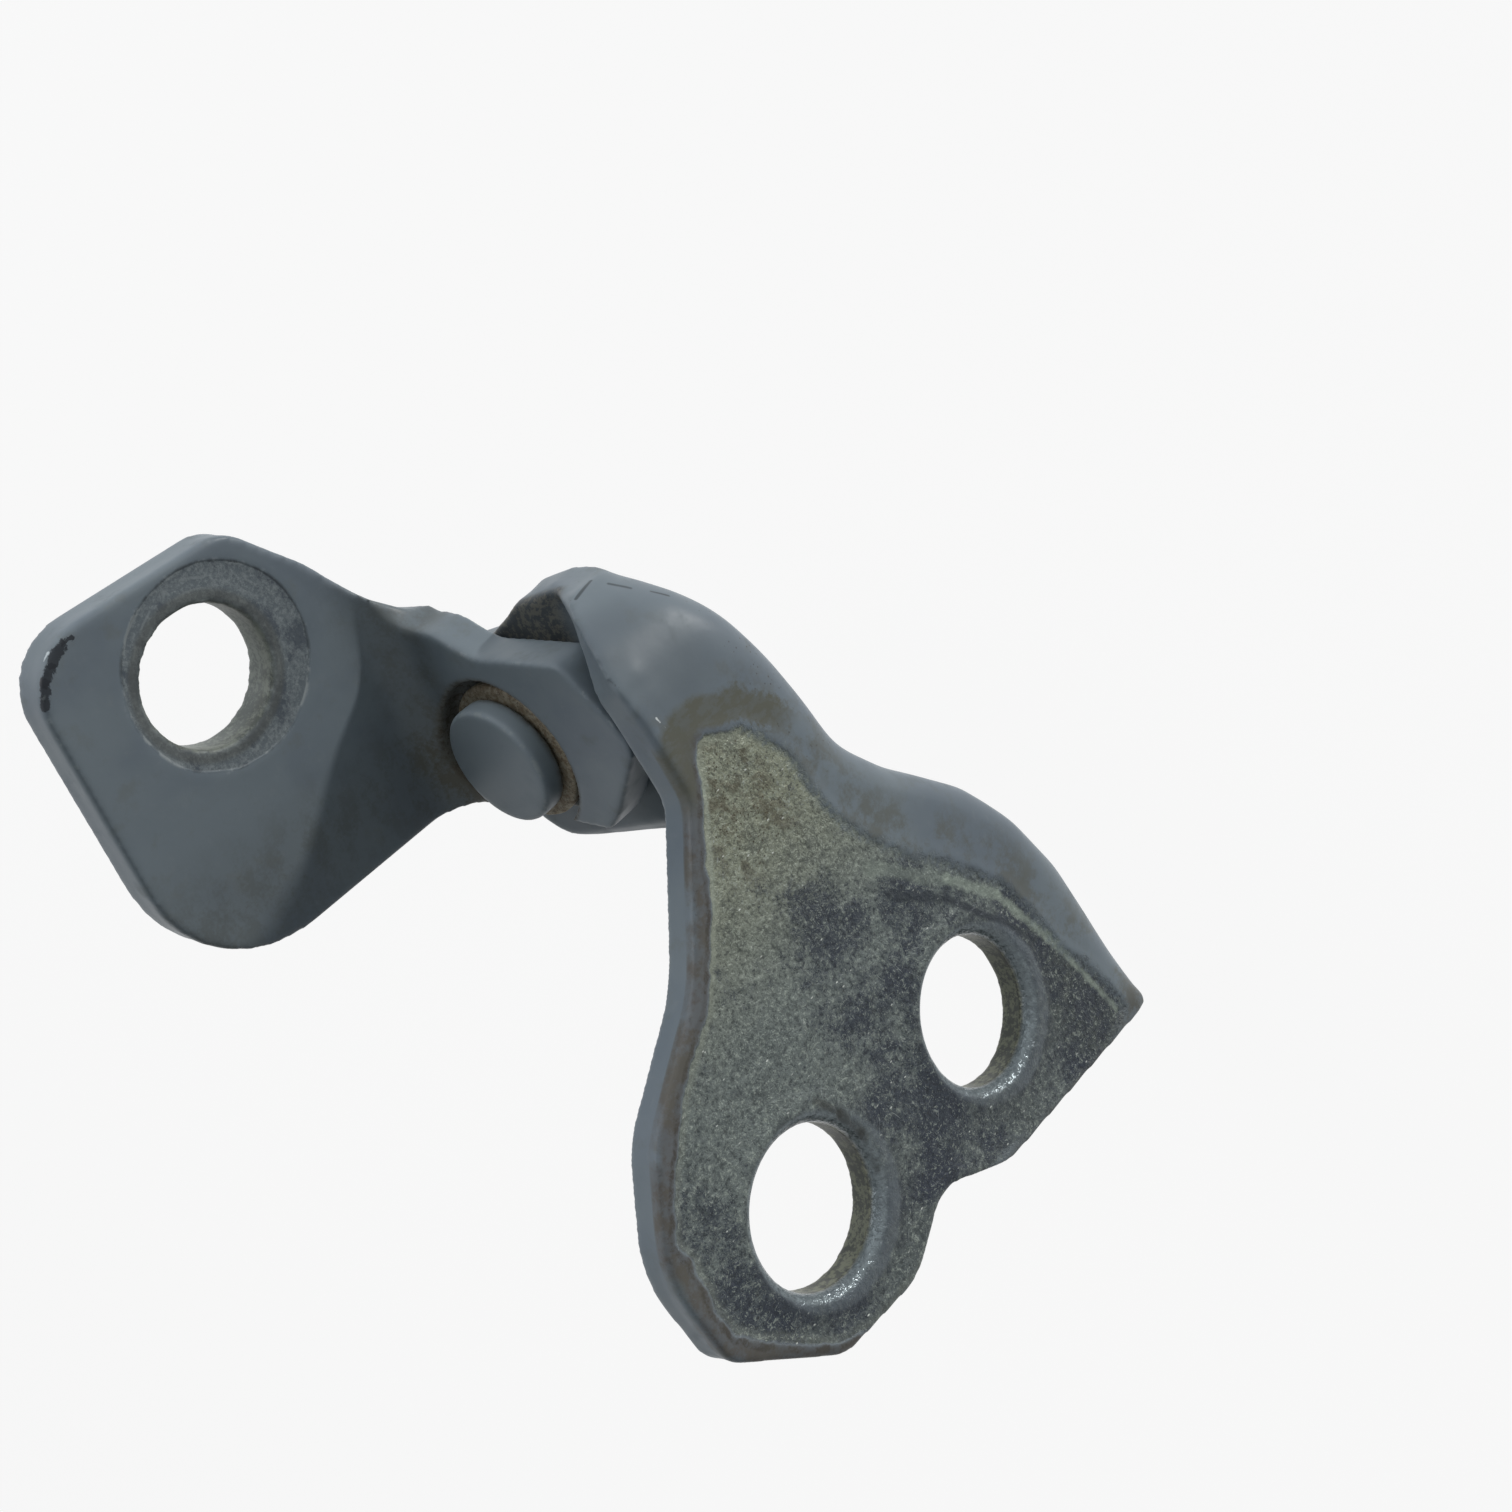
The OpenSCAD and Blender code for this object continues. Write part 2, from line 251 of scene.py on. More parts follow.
def sharp_edge_points(mesh):
    """Points along the sharp edges of a mesh, about EDGE_POINT_GAP apart."""
    bm = bmesh.new()
    bm.from_mesh(mesh)
    found = []
    for e in bm.edges:
        if len(e.link_faces) == 2 and e.calc_face_angle(0.0) > SHARP:
            a, b = e.verts[0].co, e.verts[1].co
            steps = max(1, int((b - a).length / (EDGE_POINT_GAP * MM)))
            found += [a.lerp(b, i / steps) for i in range(steps + 1)]
    bm.free()
    return found


def distance_to(points, places):
    """How far each place lies from the nearest of the points, in mm."""
    tree = KDTree(len(points))
    for i, p in enumerate(points):
        tree.insert(p, i)
    tree.balance()
    return np.array([tree.find(v)[2] for v in places]) / MM


def even_mesh(source, name, voxel):
    """A copy of a mesh in even voxel-sized faces."""
    held = bpy.data.objects.new(name + "_source", source)
    bpy.context.scene.collection.objects.link(held)
    remesh = held.modifiers.new("even", "REMESH")
    remesh.mode = "VOXEL"
    remesh.voxel_size = voxel * MM
    mesh = bpy.data.meshes.new_from_object(held.evaluated_get(bpy.context.evaluated_depsgraph_get()))
    bpy.data.objects.remove(held)
    return mesh


def softened(name, voxel, rounds, calm=0):
    """A node's shape as an even mesh with rounded edges. Calm rounds smooth only what is away from them."""
    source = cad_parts[name].data.copy()
    bm = bmesh.new()
    bm.from_mesh(source)
    bmesh.ops.remove_doubles(bm, verts=bm.verts, dist=1e-6)
    bm.to_mesh(source)
    bm.free()
    edges = sharp_edge_points(source)
    mesh = even_mesh(source, name, voxel)
    co = np.zeros(len(mesh.vertices) * 3)
    mesh.vertices.foreach_get("co", co)
    co = co.reshape(-1, 3)
    away = distance_to(edges, co)
    pairs = np.zeros(len(mesh.edges) * 2, int)
    mesh.edges.foreach_get("vertices", pairs)
    pairs = pairs.reshape(-1, 2)
    count = np.bincount(pairs.ravel(), minlength=len(co))[:, None]
    weight = np.clip((away - CALM_FROM) / CALM_WIDTH, 0, 1)[:, None]
    for i in range(rounds + calm):
        total = np.zeros_like(co)
        for k in range(3):
            total[:, k] = (np.bincount(pairs[:, 0], co[pairs[:, 1], k], len(co))
                           + np.bincount(pairs[:, 1], co[pairs[:, 0], k], len(co)))
        move = (total / count - co) * 0.5
        co += move if i < rounds else move * weight
    mesh.vertices.foreach_set("co", co.ravel())
    mesh.update()
    mesh.shade_smooth()
    store(mesh, "edge", away)
    made = bpy.data.objects.new(name + "_shown", mesh)
    bpy.context.scene.collection.objects.link(made)
    return made, co / MM, np.clip((away - INNER_FROM) / INNER_WIDTH, 0, 1)


def ripple(points, waves, seed):
    """An even, repeatable unevenness of about -1 to 1 at the given wavelengths in mm."""
    order = np.random.default_rng(seed)
    total = np.zeros(len(points))
    for wave in waves:
        for _ in range(4):
            way = order.normal(size=points.shape[1])
            way /= np.linalg.norm(way)
            phase = order.uniform(0, 6.28)
            total += np.sin(points @ way * (2 * math.pi / wave) + phase) * (wave / max(waves)) ** 0.6
    return total / (1.6 * math.sqrt(len(waves) * 2))


def hollows(points, waves, seed, depth):
    """Shallow hollows, about as deep as the depth in mm."""
    return (1 + ripple(points, waves, seed)).clip(0) * depth


def pushed(made, co, depth, facing=None):
    """Moves the surface inwards by a depth in mm at each point, or only where it faces a given way."""
    mesh = made.data
    normal = np.zeros(len(mesh.vertices) * 3)
    mesh.vertex_normals.foreach_get("vector", normal)
    normal = normal.reshape(-1, 3)
    if facing is not None:
        depth = depth * np.clip(normal @ np.array(facing), 0, 1) ** 3
    co = co - normal * depth[:, None]
    mesh.vertices.foreach_set("co", (co * MM).ravel())
    mesh.update()
    return co


def store(mesh, name, values):
    """Keeps one float at each point for the finish to read."""
    layer = mesh.attributes.new(name, "FLOAT", "POINT")
    layer.data.foreach_set("value", np.asarray(values, np.float32))


def dressed(name, body, voxel, rounds, calm=0):
    """The piece shown in a node's place, its points in mm, and a share that is 0 at its sharp edges."""
    made, co, inner = softened(name, voxel, rounds, calm)
    made.data.materials.clear()
    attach(made, body)
    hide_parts(name)
    return made, co, inner


# The bare zone where the leaf sat on the pillar, as seen along X: (y, z) in mm
BARE = [
    (42.5, -1.2), (38.7, 1.4), (34.2, 4), (30.3, 6.5), (26.1, 10), (23.4, 12.5), (21.4, 15.6),
    (19.3, 18.9), (17.4, 21.8), (13.7, 25.5), (9.3, 29), (6.9, 28.6), (4.1, 28.8), (1.3, 29.3),
    (-1.6, 29), (-4.5, 27), (-8.1, 24), (-11.5, 20.6), (-13.7, 16), (-13.9, 9), (-11.7, 2),
    (-12.8, -4), (-14.9, -12), (-15.9, -22), (-16.3, -30), (-15.3, -33.4), (-7.3, -31.4), (-2.7, -28.8),
    (3.6, -27.8), (8.4, -25.8), (14.5, -21.1), (19.6, -15.9), (23.2, -13.5), (27.1, -11.5),
    (30.9, -10.4), (35.7, -10.3), (38.7, -8.7), (40.9, -6.5), (42.6, -2.5)]
# What lies behind this x isn't the bolt face, and counts as far outside the zone
FRONT, FAR_OUTSIDE = -1.6, -6
PAINT_FILM, PAINT_RIDGE, WORN_DEPTH = 0.06, 0.01, 0.2
# Darker patches in the bare zone: y, z, radius and strength
PATCHES = [
    (20.2, -3, 5, 1.0), (17, -6, 4, 0.8), (8.2, -6, 5.5, 0.9), (14.2, -13.5, 5, 1.0), (9.7, -19, 5, 0.8),
    (-3.3, -3.4, 6, 1.1), (1, 1.5, 5, 0.9), (3.7, -2.3, 5, 0.9), (10.9, -1.3, 5, 0.8), (-7.5, 0.5, 5, 0.9),
    (9.2, 25.8, 4.5, 0.8), (0.2, 26.2, 4.5, 0.9), (-5.3, 23.5, 4.5, 1.0), (-8.6, 18, 4.5, 0.9),
    (-1.8, -25, 5, 0.7), (-7.3, 7, 4.5, 0.7), (-7.3, -19, 6, 0.6), (3, -8, 5, 0.7), (-9, -9, 6, 0.6),
    (-6, -27, 6, 0.9), (-11.5, -30, 6, 0.9), (3.5, -24.5, 4, 0.8), (-12, -24, 5, 0.8)]


def wear_pillar(piece, co, inner):
    """Dents the leaf, sinks its bare zone below the paint, and stores the zone and its dark patches."""
    flat = co[:, 1:3]
    inside = outline_distance(flat, BARE) + ripple(flat, (9, 5, 3, 1.8), 4) * 0.35
    inside = np.where(co[:, 0] > FRONT, inside, FAR_OUTSIDE)
    store(piece.data, "bare", inside)
    ridge = PAINT_RIDGE - PAINT_FILM
    step = np.interp(inside, (-3, -1.3, -0.7, -0.2, 0.5), (0, 0, ridge, ridge, WORN_DEPTH))
    step = PAINT_FILM + step * inner
    dents = hollows(co, (17, 11, 7), 9, 0.05) * inner
    pits = hollows(co, (3.2, 2.1, 1.4), 12, 0.03) * (inside > 0) * inner
    co = pushed(piece, co, dents)
    co = pushed(piece, co, step + pits, (1, 0, 0))
    dark = np.zeros(len(co))
    for y, z, radius, strength in PATCHES:
        away = np.hypot(co[:, 1] - y, co[:, 2] - z) / radius
        dark = np.maximum(dark, strength * np.clip(1.4 - away, 0, 1))
    store(piece.data, "dark", dark)


pillar, pillar_co, pillar_inner = dressed("pillar_leaf", "pillar_side", 0.34, 7, 45)
door, door_co, door_inner = dressed("door_leaf", "door_side", 0.32, 7, 20)
pin, pin_co, _ = dressed("hinge_pin", "pillar_side", 0.25, 5, 4)
bush, bush_co, _ = dressed("door_bush", "door_side", 0.25, 3)
thrust = dressed("thrust_washer", "pillar_side", 0.25, 3)[0]

wear_pillar(pillar, pillar_co, pillar_inner)
pushed(door, door_co, hollows(door_co, (15, 9, 6), 21, 0.04) * door_inner)
# Room for the bush to turn on the pin
TURNING_ROOM = 0.03
pushed(pin, pin_co, np.full(len(pin_co), TURNING_ROOM))
pushed(bush, bush_co, np.full(len(bush_co), TURNING_ROOM))


# Finishes

PAINT = srgb(118, 128, 135)
SHEEN = 0.24
# Colours of the painted highlight on ridges and the painted shade in a crease, in the bare zone
RIDGE_HIGHLIGHT, CREASE_SHADE = srgb(142, 152, 142), srgb(44, 50, 56)

# Thin dark chip lines in the hood's paint: their two ends and half width
HOOD_LINES = [
    ((-7.1, 59.2, -5.6), (-6.4, 58.9, -2.6), 0.12), ((-5.7, 58.3, -6.3), (-4.3, 57.0, -7.2), 0.14),
    ((-3.4, 55.7, -8.4), (-2.7, 54.5, -9.3), 0.12), ((-9.6, 59.3, -6.4), (-8.9, 59.3, -5.6), 0.1)]
# Rubbed strokes in the bare zone: their two ends and half width
BARE_STROKES = [
    ((0, 1.2, 25.6), (0, 4.9, 23.3), 0.1), ((0, -1.4, 27.2), (0, 4.2, 23.9), 0.08),
    ((0, -3.2, 27.4), (0, 2.2, 24.4), 0.09), ((0, 26, 3), (0, 22.4, -1.2), 0.07),
    ((0, 12.4, 5.4), (0, 7.8, 8.2), 0.06), ((0, 16.8, -2.2), (0, 13.2, -6.8), 0.06)]
# Painted highlight along ridges (pale) and painted shade in a crease beside the far hole (dark), in the bare
# zone: two (y, z) ends, half width, colour and strength
RIDGE_HIGHLIGHTS_AND_SHADE = [
    (((20.7, -11.4), (13.2, -19.6)), 1.2, RIDGE_HIGHLIGHT, 0.4), (((13.2, -19.6), (7.2, -24.8)), 1.0, RIDGE_HIGHLIGHT, 0.65),
    (((7.2, -24.8), (-2.7, -28.8)), 0.9, RIDGE_HIGHLIGHT, 0.85), (((-2.7, -28.8), (-13.9, -31.9)), 0.7, RIDGE_HIGHLIGHT, 0.8),
    (((41.5, -0.6), (36, 1.9)), 0.45, RIDGE_HIGHLIGHT, 0.9), (((36, 1.9), (29, 7)), 0.4, RIDGE_HIGHLIGHT, 0.7),
    (((16.8, -12.1), (11.7, -18.3)), 0.9, CREASE_SHADE, 0.8), (((11.7, -18.3), (5.4, -22.8)), 0.7, CREASE_SHADE, 0.95),
    (((5.4, -22.8), (0.4, -26.1)), 0.7, CREASE_SHADE, 0.85)]
# Painted shade and dirt in the step at the near hole's rim: two (y, z) ends and half width
LAP_STEP_SHADE_AND_DIRT = [
    (((8.1, 8.5), (5.0, 7.0)), 0.6), (((5.0, 7.0), (1.5, 6.2)), 1.0), (((1.5, 6.2), (-2.6, 6.9)), 0.9)]
# How far each bolt washer's print lies off its hole: down the leaf, and outwards along it
LAP_DOWN, LAP_OUT = 0.9, 0.8
# Two tiny chips in the near edge, under the hood, painted white as glints (painted highlight)
PAINTED_CHIP_GLINTS = [((-0.05, 46.9, 1.1), (-0.02, 46.4, 1.0), 0.13), ((-0.02, 45.8, 0.8), (-0.02, 45.6, 0.75), 0.1)]
# Black chips round the near upper corner of the door plate
DOOR_CHIPS = [
    ((-27.13, 79.41, 30.92), (-27.17, 79.25, 31.98), 0.25),
    ((-27.17, 79.25, 31.98), (-27.42, 78.4, 33.5), 0.5),
    ((-27.5, 78.1, 33.9), (-27.79, 77.16, 35.07), 0.42),
    ((-27.79, 77.16, 35.07), (-28.3, 75.6, 36.1), 0.5)]


def paint_layers(s):
    """Grey-blue paint: its colour, roughness and surface height."""
    cloud = s.noise(0.08, 3, 0.55, 3)
    fine_cloud = s.noise(0.8, 4, 0.6, 11)
    colour = s.mix(PAINT, srgb(110, 120, 129), cloud.rise(0.4, 0.62))
    colour = s.mix(colour, srgb(130, 137, 140), fine_cloud.rise(0.55, 0.8) * 0.3)
    dirt = s.noise(0.3, 5, 0.62, 23)
    colour = s.mix(colour, srgb(106, 108, 102), dirt.rise(0.54, 0.72) * 0.3)
    roughness = 0.36 + fine_cloud * 0.12 + dirt.rise(0.5, 0.7) * 0.12
    height = s.noise(0.45, 2, 0.5, 5) * 0.7 + s.noise(2.2, 2, 0.5, 8) * 0.08
    return colour, roughness, height


def pillar_fields(s):
    """What the pillar leaf's finish is mixed from: its sides, the bare zone, the holes and noises."""
    f = SimpleNamespace()
    f.far_side = s.z.rise(-3, -12)
    f.near_side = s.z.rise(-6, 2)
    f.front = s.x.rise(-1.8, -1.2)
    fringe = s.noise(1.4, 4, 0.7, 31) - 0.5
    f.inside = s.attribute("bare") + fringe * (0.7 + f.far_side * 2.6)
    f.mask = (f.inside / (0.25 + f.far_side * 1.1)).rise(-0.5, 0.9)
    f.top_band = f.inside.band(-4.4, -3.4, -0.9, -0.3) * s.y.rise(36.5, 40) * f.front
    f.hole = reach(s.y, s.z.abs() - HOLE_Z) - HOLE_R
    f.cloud = s.noise(0.16, 5, 0.62, 71) - 0.5
    f.coarse = s.noise(0.6, 4, 0.78, 89) - 0.5
    f.hair = s.noise(1.25, 3, 0.8, 173, warp=3.5) - 0.5
    f.grain = s.noise(1.7, 2, 0.78, 61) - 0.5
    return f


def dirtied(s, f, colour):
    """Dirt on the paint: a thin brown line round the bare zone, smut, the foot and a band over the top."""
    stripe = f.inside.band(-2.4, -1.6, -0.5, 0.2) * f.front * f.near_side
    blotch = (f.coarse + f.cloud * 0.6).rise(-0.12, 0.12)
    colour = s.mix(colour, srgb(90, 84, 78), stripe * (0.5 + blotch * 0.4))
    line = f.inside.band(-0.9, -0.6, -0.3, 0.0) * f.front * f.near_side
    colour = s.mix(colour, srgb(62, 58, 54), line * (0.3 + f.coarse.rise(-0.06, 0.1) * 0.5))
    smut = f.inside.band(-7, -2.5, -1.0, 0.5) * f.front * (f.coarse * 0.7 + f.cloud).rise(-0.08, 0.16)
    colour = s.mix(colour, srgb(96, 96, 86), smut * (0.35 + f.far_side * 0.3))
    foot = s.y.rise(-12.5, -15.5)
    colour = s.mix(colour, srgb(84, 84, 78), foot * (0.3 + (f.coarse + f.cloud).rise(-0.05, 0.15) * 0.5))
    streak = s.noise(0.9, 4, 0.6, 151, (0.5, 1.5, 0.6)) - 0.5
    streaked = (streak + f.coarse * 0.6).rise(-0.1, 0.1)
    colour = s.mix(colour, srgb(94, 95, 86), f.top_band * (0.75 + streaked * 0.25))
    corner = s.z.rise(-9, -12) * s.y.rise(30, 36)
    specks = s.cells(1.5, 29).rise(0.2, 0.08) * corner * (f.cloud + 0.1).rise(0.0, 0.12)
    return s.mix(colour, srgb(66, 62, 54), specks * 0.7)


def bare_metal(s, f):
    """Bare steel, greenish at the top and blue at the lobes, with dark patches, rust specks and painted
    glints (painted highlights).
    """
    metal = s.mix(srgb(110, 118, 116), srgb(133, 137, 120), s.y.rise(14, 36))
    metal = s.mix(metal, srgb(92, 99, 99), s.y.rise(6, -12))
    metal = s.mix(metal, srgb(72, 78, 76), s.z.rise(-20, -27) * s.y.rise(12, 4))
    shade = s.attribute("dark") * 0.42 + f.cloud * 1.2 + f.coarse * 0.9 + f.hair * 1.7
    metal = s.mix(metal, srgb(40, 46, 60), shade.rise(0.06, 0.42) * 0.88)
    tarnish = f.coarse * 0.9 - f.cloud * 0.8 - f.hair * 1.4
    metal = s.mix(metal, srgb(60, 66, 68), tarnish.rise(0.03, 0.2) * 0.5)
    hairlines = f.hair + f.grain * 0.5 - f.coarse * 0.2
    metal = s.mix(metal, srgb(170, 178, 168), hairlines.rise(0.04, 0.16) * 0.55)
    metal = s.mix(metal, srgb(36, 40, 42), (f.grain - f.hair * 0.5).rise(-0.04, -0.15) * 0.5)
    rust = s.y.rise(26, 32) * s.z.band(-9, -5, 1.5, 5)
    rusty = (s.noise(0.4, 3, 0.6, 101) - 0.5 + rust * 0.12).rise(0.0, 0.1)
    speck = s.cells(1.9, 7).rise(0.26, 0.12) * rusty
    metal = s.mix(metal, srgb(58, 50, 38), speck * (0.25 + rust * 0.65))
    stain = rust * (f.coarse + f.cloud * 0.8).rise(-0.04, 0.12)
    metal = s.mix(metal, srgb(84, 78, 60), stain * 0.55)
    # painted highlights: scattered white glints on the bare steel
    bright = (s.noise(0.5, 3, 0.6, 103) - 0.5).rise(0.0, 0.08)
    painted_glint = s.cells(1.3, 19, (1, 1, 0.45)).rise(0.13, 0.05) * bright
    return s.mix(metal, srgb(222, 226, 220), painted_glint * 0.8)


def rubbed(s, f, metal):
    """Scratches and strokes in the bare steel, painted highlight and painted shade along its ridges and a
    crease, and the pale line inside the zone's border.
    """
    scratch = (s.noise(1.0, 1, 0.5, 107, (1, 0.45, 7.0), turn=0.75).rise(0.72, 0.77)
               + s.noise(1.0, 1, 0.5, 109, (1, 0.6, 8.0), turn=-0.35).rise(0.73, 0.78)).least(1.0)
    field = (s.noise(0.12, 3, 0.6, 163) - 0.5).rise(-0.04, 0.1)
    metal = s.mix(metal, srgb(170, 178, 178), scratch * field * 0.5)
    for a, b, half in BARE_STROKES:
        metal = s.mix(metal, srgb(186, 190, 182), s.stroke(a, b).rise(half * 2, half * 0.7) * f.front * 0.6)
    # painted highlight and painted shade along the bare zone's ridges and crease
    for (a, b), wide, tone, strength in RIDGE_HIGHLIGHTS_AND_SHADE:
        off = s.stroke((0, *a), (0, *b)) + f.coarse * wide * 1.2
        metal = s.mix(metal, tone, off.rise(wide, wide * 0.35) * strength)
    pale_line = f.inside.band(0.0, 0.25, 0.5, 1.3) * (s.y.rise(10, 34) * 0.55 + f.near_side * 0.2)
    broken = (f.hair + f.coarse).rise(-0.15, 0.15)
    return s.mix(metal, srgb(152, 158, 144), pale_line * (0.55 + broken * 0.45))


def washer_prints(s, f, metal):
    """Each hole's rubbed rim and the smooth print of its bolt's washer, with painted shade and dirt in a
    step at the near hole's rim; also how glossy they are.
    """
    side = f.near_side * 2.0 - 1.0
    lap = reach(s.y + LAP_DOWN, s.z.abs() - HOLE_Z + side * LAP_OUT) - HOLE_R
    uneven = (s.noise(0.35, 3, 0.5, 15) - 0.5) * 0.9
    washer = (lap + uneven).rise(2.0, 1.3) * f.front
    metal = s.mix(metal, srgb(92, 100, 106), washer * (0.55 + f.cloud.rise(-0.1, 0.1) * 0.3))
    border = (lap + uneven).band(1.4, 1.9, 2.1, 2.8) * f.front * f.coarse.rise(-0.1, 0.1)
    metal = s.mix(metal, srgb(52, 58, 64), border * 0.45)
    rim = (f.hole + uneven * 0.4).band(-0.9, -0.2, 0.7, 1.2) * f.front
    metal = s.mix(metal, srgb(126, 136, 140), rim * (0.45 + f.grain.rise(-0.1, 0.1) * 0.35))
    # painted shade and dirt in the step at the near hole's rim
    for (a, b), wide in LAP_STEP_SHADE_AND_DIRT:
        off = s.stroke((0, *a), (0, *b)) + f.coarse * 1.6
        metal = s.mix(metal, srgb(56, 58, 56), off.rise(wide, wide * 0.3) * 0.7)
    return metal, rim * 0.2 + washer * 0.12


def pillar_details(s, f, colour):
    """The holes' walls, the hood's mouth of rough dark metal with painted shade, painted shade on the hood's
    side, the chip lines, two chips painted white as glints (painted highlight), and the wear on the edges.
    """
    rough = f.coarse + f.grain
    wall = s.x.rise(-1.0, -1.7) * f.hole.rise(1.6, 0.8)
    wall_colour = s.mix(srgb(116, 118, 100), srgb(66, 68, 60), rough.rise(-0.12, 0.1))
    colour = s.mix(colour, wall_colour, wall * 0.9)
    # the hood's mouth: rough dark metal, darkened further as painted shade
    mouth = s.z.band(-5.2, -4.4, -2.6, -1.8) * s.x.rise(-9, -11) * s.y.rise(52, 54)
    mouth_colour = s.mix(srgb(96, 92, 80), srgb(44, 46, 46), rough.rise(-0.12, 0.08))
    colour = s.mix(colour, mouth_colour, mouth * 0.8)
    # painted shade on the near side of the hood
    hood_painted_shade = s.stroke((-2.4, 53.9, -1.2), (-0.6, 49.6, -3.6)).rise(7, 1.5)
    colour = s.mix(colour, srgb(92, 101, 108), hood_painted_shade * (1.0 - f.mask) * (1.0 - f.top_band) * 0.6)
    for a, b, half in HOOD_LINES:
        colour = s.mix(colour, srgb(44, 50, 54), s.stroke(a, b).rise(half * 2.2, half * 0.8) * 0.75)
    # two tiny chips painted white: painted highlight
    for a, b, half in PAINTED_CHIP_GLINTS:
        ragged = s.stroke(a, b) + f.coarse * half * 2.0
        colour = s.mix(colour, srgb(232, 236, 236), ragged.rise(half * 1.3, half * 0.8) * 0.9)
    flaked = (s.noise(0.6, 5, 0.7, 113) - 0.5).rise(0.1, 0.18)
    worn = s.attribute("edge").rise(0.7, 0.15) * flaked * (1.0 - f.mask)
    return s.mix(colour, srgb(64, 64, 62), worn * 0.5)


def pillar_finish():
    s = Shader("pillar_leaf_finish")
    colour, roughness, height = paint_layers(s)
    f = pillar_fields(s)
    metal, gloss = washer_prints(s, f, rubbed(s, f, bare_metal(s, f)))
    colour = s.mix(dirtied(s, f, colour), metal, f.mask)
    colour = pillar_details(s, f, colour)
    painted = 1.0 - f.mask
    roughness = roughness * painted + (0.5 + f.grain * 0.35 - gloss) * f.mask
    pebble = s.noise(0.8, 1, 0.6, 191) - 0.5
    pitted = f.grain * 0.7 + f.coarse * 0.8 + pebble * 1.2
    height = painted * (height * 0.2 + 0.4) + pitted * f.mask
    return s.finish(colour, roughness, f.mask * 0.25, height, 0.2, specular=SHEEN)


def seat_metal(s, seat, hole, front, grain, smear):
    """The bare, turned print round the door hole."""
    hair = s.noise(1.4, 5, 0.78, 83, warp=2.5) - 0.5
    mottle = (grain + hair * 0.8 + smear * 0.6).rise(-0.14, 0.2)
    metal = s.mix(srgb(100, 108, 113), srgb(134, 141, 143), mottle)
    stain = smear * 1.2 + hair * 0.6 + hole.band(6.5, 7.2, 7.8, 9.0) * 0.1
    metal = s.mix(metal, srgb(58, 65, 76), stain.rise(0.04, 0.2) * 0.75)
    circles = (seat * 5.5 + s.noise(0.3, 3, 0.5, 3) * 7.0).sine()
    metal = s.mix(metal, srgb(156, 162, 163), circles.rise(0.5, 1.0) * (-smear).rise(-0.02, 0.12) * 0.4)
    return s.mix(metal, srgb(92, 92, 84), hole.band(7.0, 7.6, 7.9, 8.6) * front * 0.5)


